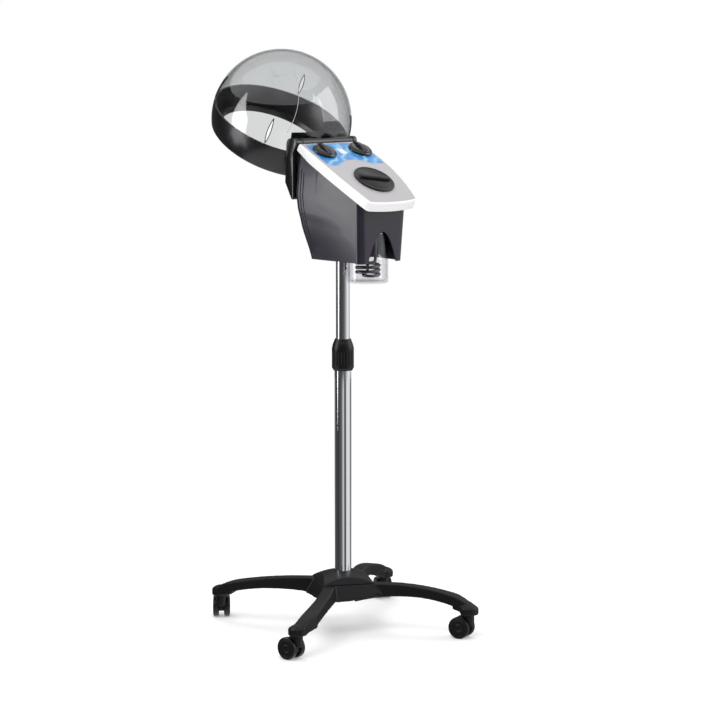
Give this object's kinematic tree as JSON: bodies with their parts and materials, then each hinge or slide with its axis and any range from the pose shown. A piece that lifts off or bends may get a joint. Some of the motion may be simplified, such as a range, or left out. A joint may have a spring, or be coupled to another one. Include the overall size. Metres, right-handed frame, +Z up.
{
  "type": "hair steamer",
  "caption": "Salon hair steamer: castor base, telescopic pole, control head with a clear water jar, and a smoked clear hood that flips up.",
  "frame": {"origin": "on the floor under the pole's axis", "axes": "+Z up along the pole, +Y from the control head towards the hood, +X to the right of someone who faces the hood from the control head"},
  "size_m": [0.5814, 0.6528, 1.312],
  "materials": {
    "base_plastic": "satin moulded plastic, charcoal",
    "castor_plastic": "satin moulded plastic, black",
    "steel": "zinc plated",
    "chrome_tube": "polished chrome",
    "collar_plastic": "satin, fluted",
    "white_nylon": "plain moulded nylon",
    "cast_metal": "satin",
    "housing_plastic": "gloss, dark grey with a violet tint",
    "panel_plastic": "painted silver-grey, pale rim",
    "label_film": "printed film with plain pale waves",
    "black_gloss": "gloss",
    "cap_plastic": "fine matte grain",
    "seal_rubber": "matte",
    "jar_clear": "clear, polished",
    "element_steel": "heat darkened",
    "pale_plastic": "plain moulded",
    "dome_clear": "smoke tinted, polished"
  },
  "bodies": {
    "stand": {"base_frame": "base_plastic", "hub_cover": "base_plastic", "hub_bolt": "steel", "outer_tube": "chrome_tube", "tube_foot_plug": "cast_metal", "collet": "white_nylon"},
    "locking_collar": {"lock_collar": "collar_plastic"},
    "mast": {"inner_tube": "chrome_tube", "tube_glide": "white_nylon", "tube_top_plug": "cast_metal", "pivot_bolt": "steel", "swivel_washer": "white_nylon"},
    "head": {"pole_socket": "cast_metal", "head_housing": "housing_plastic", "chassis_plate": "cast_metal", "bottom_cover": "housing_plastic", "cable_gland": "black_gloss", "control_panel": "panel_plastic", "panel_label": "label_film", "timer_switch": "pale_plastic", "steam_switch": "pale_plastic", "filler_neck": "cast_metal", "jar_holder": "black_gloss", "jar_gasket": "seal_rubber", "heating_coil": "element_steel", "thermostat": "steel", "terminal_block": "pale_plastic", "steam_pipe": "cast_metal", "port_seal": "seal_rubber", "hinge_lugs": "black_gloss", "hinge_pins": "steel"},
    "hood": {"hood_bracket": "black_gloss", "hood_skirt": "black_gloss", "hood_dome": "dome_clear", "inner_clamp": "black_gloss", "clamp_screws": "steel", "steam_nozzle": "black_gloss"},
    "timer_dial": {"timer_knob": "black_gloss"},
    "steam_dial": {"steam_knob": "black_gloss"},
    "filler_plug": {"filler_seal": "seal_rubber"},
    "filler_top": {"filler_cap": "cap_plastic"},
    "jar": {"water_jar": "jar_clear"},
    "castor_1": {"castor_stem_1": "steel", "castor_housing_1": "castor_plastic"},
    "wheel_pair_1": {"castor_wheels_1": "castor_plastic"},
    "castor_2": {"castor_stem_2": "steel", "castor_housing_2": "castor_plastic"},
    "wheel_pair_2": {"castor_wheels_2": "castor_plastic"},
    "castor_3": {"castor_stem_3": "steel", "castor_housing_3": "castor_plastic"},
    "wheel_pair_3": {"castor_wheels_3": "castor_plastic"},
    "castor_4": {"castor_stem_4": "steel", "castor_housing_4": "castor_plastic"},
    "wheel_pair_4": {"castor_wheels_4": "castor_plastic"}
  },
  "joints": [
    {"name": "collar_turn", "type": "hinge", "parent": "stand", "child": "locking_collar", "pos_m": [0, 0, 0.633], "axis": [0, 0, 1], "range_deg": [0, 120]},
    {"name": "mast_slide", "type": "slide", "parent": "stand", "child": "mast", "axis": [0, 0, 1], "range_m": [-0.17, 0.18]},
    {"name": "head_swivel", "type": "hinge", "parent": "mast", "child": "head", "pos_m": [0, 0, 0.983], "axis": [0, 0, 1], "range_deg": [-180, 180]},
    {"name": "hood_flip", "type": "hinge", "parent": "head", "child": "hood", "pos_m": [0, 0.0645, 1.107], "axis": [1, 0, 0], "range_deg": [0, 45]},
    {"name": "timer_turn", "type": "hinge", "parent": "head", "child": "timer_dial", "pos_m": [-0.049, 0.00507, 1.08731], "axis": [0, -0.425, 0.9052], "range_deg": [-300, 0]},
    {"name": "steam_turn", "type": "hinge", "parent": "head", "child": "steam_dial", "pos_m": [0.055, 0.00507, 1.08731], "axis": [0, -0.425, 0.9052], "range_deg": [-270, 0]},
    {"name": "filler_lift", "type": "slide", "parent": "head", "child": "filler_plug", "axis": [0, -0.5052, 0.863], "range_m": [0, 0.06]},
    {"name": "filler_turn", "type": "hinge", "parent": "filler_plug", "child": "filler_top", "pos_m": [0, -0.10468, 1.02958], "axis": [0, -0.5052, 0.863], "range_deg": [-90, 0]},
    {"name": "jar_drop", "type": "slide", "parent": "head", "child": "jar", "axis": [0, 0, -1], "range_m": [0, 0.15]},
    {"name": "castor_swivel_1", "type": "hinge", "parent": "stand", "child": "castor_1", "pos_m": [0.25981, 0.15, 0.056], "axis": [0, 0, 1], "continuous": true},
    {"name": "wheel_spin_1", "type": "hinge", "parent": "castor_1", "child": "wheel_pair_1", "pos_m": [0.26931, 0.16645, 0.025], "axis": [-0.866, 0.5, 0], "continuous": true},
    {"name": "castor_swivel_2", "type": "hinge", "parent": "stand", "child": "castor_2", "pos_m": [-0.15, 0.25981, 0.056], "axis": [0, 0, 1], "continuous": true},
    {"name": "wheel_spin_2", "type": "hinge", "parent": "castor_2", "child": "wheel_pair_2", "pos_m": [-0.13753, 0.27415, 0.025], "axis": [-0.7547, 0.6561, 0], "continuous": true},
    {"name": "castor_swivel_3", "type": "hinge", "parent": "stand", "child": "castor_3", "pos_m": [-0.25981, -0.15, 0.056], "axis": [0, 0, 1], "continuous": true},
    {"name": "wheel_spin_3", "type": "hinge", "parent": "castor_3", "child": "wheel_pair_3", "pos_m": [-0.26245, -0.13118, 0.025], "axis": [-0.9903, -0.1392, 0], "continuous": true},
    {"name": "castor_swivel_4", "type": "hinge", "parent": "stand", "child": "castor_4", "pos_m": [0.15, -0.25981, 0.056], "axis": [0, 0, 1], "continuous": true},
    {"name": "wheel_spin_4", "type": "hinge", "parent": "castor_4", "child": "wheel_pair_4", "pos_m": [0.1435, -0.24195, 0.025], "axis": [-0.9397, -0.342, 0], "continuous": true}
  ]
}
